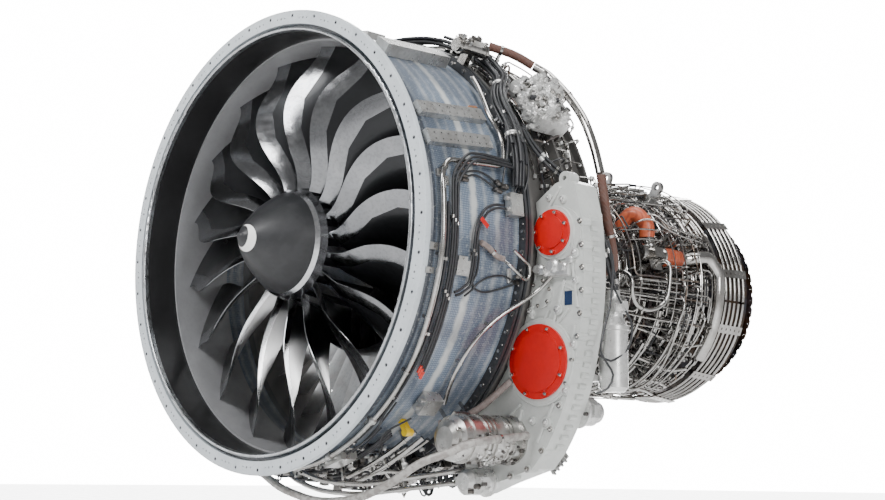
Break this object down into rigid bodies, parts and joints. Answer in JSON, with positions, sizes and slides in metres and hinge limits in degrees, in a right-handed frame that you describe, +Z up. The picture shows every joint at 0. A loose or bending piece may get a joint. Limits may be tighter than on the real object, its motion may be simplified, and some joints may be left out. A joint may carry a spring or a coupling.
{
  "type": "geared turbofan engine",
  "caption": "Turbofan engine with a wide fan in a drum case, a reduction gear, two spools, an outside gearbox with covered pads, pipes, hoses and cables.",
  "frame": {"origin": "on the engine axis, in the front face of the intake flange", "axes": "+Y along the engine axis towards the exhaust, +Z up, +X on the side that carries the gearbox"},
  "size_m": [2.33, 3.184, 2.1961],
  "materials": {
    "flange_paint": "satin",
    "lip_metal": "satin",
    "liner": "matte",
    "rub_strip": "matte",
    "fan_case_composite": "satin woven",
    "dark_joint": "satin",
    "rear_case_paint": "satin",
    "vane_metal": "satin",
    "spinner_paint": "satin",
    "ring_metal": "satin",
    "blade_body": "gloss",
    "blade_edge": "polished",
    "gear_steel": "ground",
    "inner_casting": "satin",
    "rotor_alloy": "satin",
    "core_case": "heat stained",
    "combustor_alloy": "matt",
    "bright_metal": "satin",
    "gearbox_casting": "satin",
    "cover_red": "gloss",
    "accessory_casting": "cast",
    "generator_paint": "satin",
    "bracket_metal": "satin",
    "wrapped_sleeve": "matte",
    "silicone_sleeve": "satin",
    "black_cable": "satin",
    "cap_plastic": "gloss",
    "mount_metal": "machined"
  },
  "bodies": {
    "engine_frame": {"front_flange": "flange_paint", "inlet_lip": "lip_metal", "acoustic_liner": "liner", "rub_strip": "rub_strip", "fan_case": "fan_case_composite", "fan_case_joint": "dark_joint", "intermediate_case": "rear_case_paint", "exit_guide_vanes": "vane_metal", "core_splitter": "vane_metal", "gear_carrier": "inner_casting", "bearing_support": "inner_casting", "core_frame": "inner_casting", "turbine_frame": "inner_casting", "low_compressor_case": "core_case", "high_compressor_case": "core_case", "combustor_case": "core_case", "turbine_case": "core_case", "exhaust_case": "core_case", "combustor_liner": "combustor_alloy", "fuel_nozzles": "combustor_alloy", "core_valves": "bright_metal", "vent_valve": "bright_metal", "fan_case_tubes": "bright_metal", "core_pipes": "bright_metal", "bleed_duct": "bright_metal", "turbine_cooling": "bright_metal", "clamps_and_bolts": "bright_metal", "gearbox_housing": "gearbox_casting", "pad_covers": "cover_red", "fuel_control": "accessory_casting", "oil_filter": "accessory_casting", "gearbox_pumps": "accessory_casting", "generator": "generator_paint", "channel_brackets": "bracket_metal", "junction_boxes": "bracket_metal", "drain_mast": "bracket_metal", "wrapped_hoses": "wrapped_sleeve", "duct_sleeves": "silicone_sleeve", "black_harness": "black_cable", "caps": "cap_plastic", "front_mount": "mount_metal", "rear_mount": "mount_metal"},
    "fan_rotor": {"spinner": "spinner_paint", "nose_ring": "ring_metal", "fan_hub": "ring_metal", "fan_blades": "blade_body", "blade_edges": "blade_edge", "ring_gear": "gear_steel"},
    "low_spool": {"sun_gear": "gear_steel", "low_compressor_rotor": "rotor_alloy", "low_shaft": "gear_steel", "low_turbine_rotor": "rotor_alloy"},
    "high_spool": {"high_compressor_rotor": "rotor_alloy", "high_turbine_rotor": "rotor_alloy"},
    "vane_unison_ring": {"vane_ring": "bright_metal"},
    "star_1": {"star_gear_1": "gear_steel"},
    "star_2": {"star_gear_2": "gear_steel"},
    "star_3": {"star_gear_3": "gear_steel"},
    "star_4": {"star_gear_4": "gear_steel"},
    "star_5": {"star_gear_5": "gear_steel"}
  },
  "joints": [
    {"name": "fan_spin", "type": "hinge", "parent": "engine_frame", "child": "fan_rotor", "pos_m": [0, 0, 0], "axis": [0, 1, 0], "continuous": true},
    {"name": "low_spin", "type": "hinge", "parent": "engine_frame", "child": "low_spool", "pos_m": [0, 0, 0], "axis": [0, 1, 0], "continuous": true},
    {"name": "high_spin", "type": "hinge", "parent": "engine_frame", "child": "high_spool", "pos_m": [0, 0, 0], "axis": [0, 1, 0], "continuous": true},
    {"name": "vane_ring_turn", "type": "hinge", "parent": "engine_frame", "child": "vane_unison_ring", "pos_m": [0, 1.299, 0], "axis": [0, 1, 0], "range_deg": [-8, 8]},
    {"name": "star_1_spin", "type": "hinge", "parent": "engine_frame", "child": "star_1", "pos_m": [0, 0.68, 0.14625], "axis": [0, 1, 0], "continuous": true},
    {"name": "star_2_spin", "type": "hinge", "parent": "engine_frame", "child": "star_2", "pos_m": [-0.13909, 0.68, 0.04519], "axis": [0, 1, 0], "continuous": true},
    {"name": "star_3_spin", "type": "hinge", "parent": "engine_frame", "child": "star_3", "pos_m": [-0.08596, 0.68, -0.11832], "axis": [0, 1, 0], "continuous": true},
    {"name": "star_4_spin", "type": "hinge", "parent": "engine_frame", "child": "star_4", "pos_m": [0.08596, 0.68, -0.11832], "axis": [0, 1, 0], "continuous": true},
    {"name": "star_5_spin", "type": "hinge", "parent": "engine_frame", "child": "star_5", "pos_m": [0.13909, 0.68, 0.04519], "axis": [0, 1, 0], "continuous": true}
  ],
  "couplings": [
    {"joint": "low_spin", "follows": "fan_spin", "ratio": -3.0625},
    {"joint": "star_1_spin", "follows": "fan_spin", "ratio": 2.9697},
    {"joint": "star_2_spin", "follows": "fan_spin", "ratio": 2.9697},
    {"joint": "star_3_spin", "follows": "fan_spin", "ratio": 2.9697},
    {"joint": "star_4_spin", "follows": "fan_spin", "ratio": 2.9697},
    {"joint": "star_5_spin", "follows": "fan_spin", "ratio": 2.9697}
  ]
}
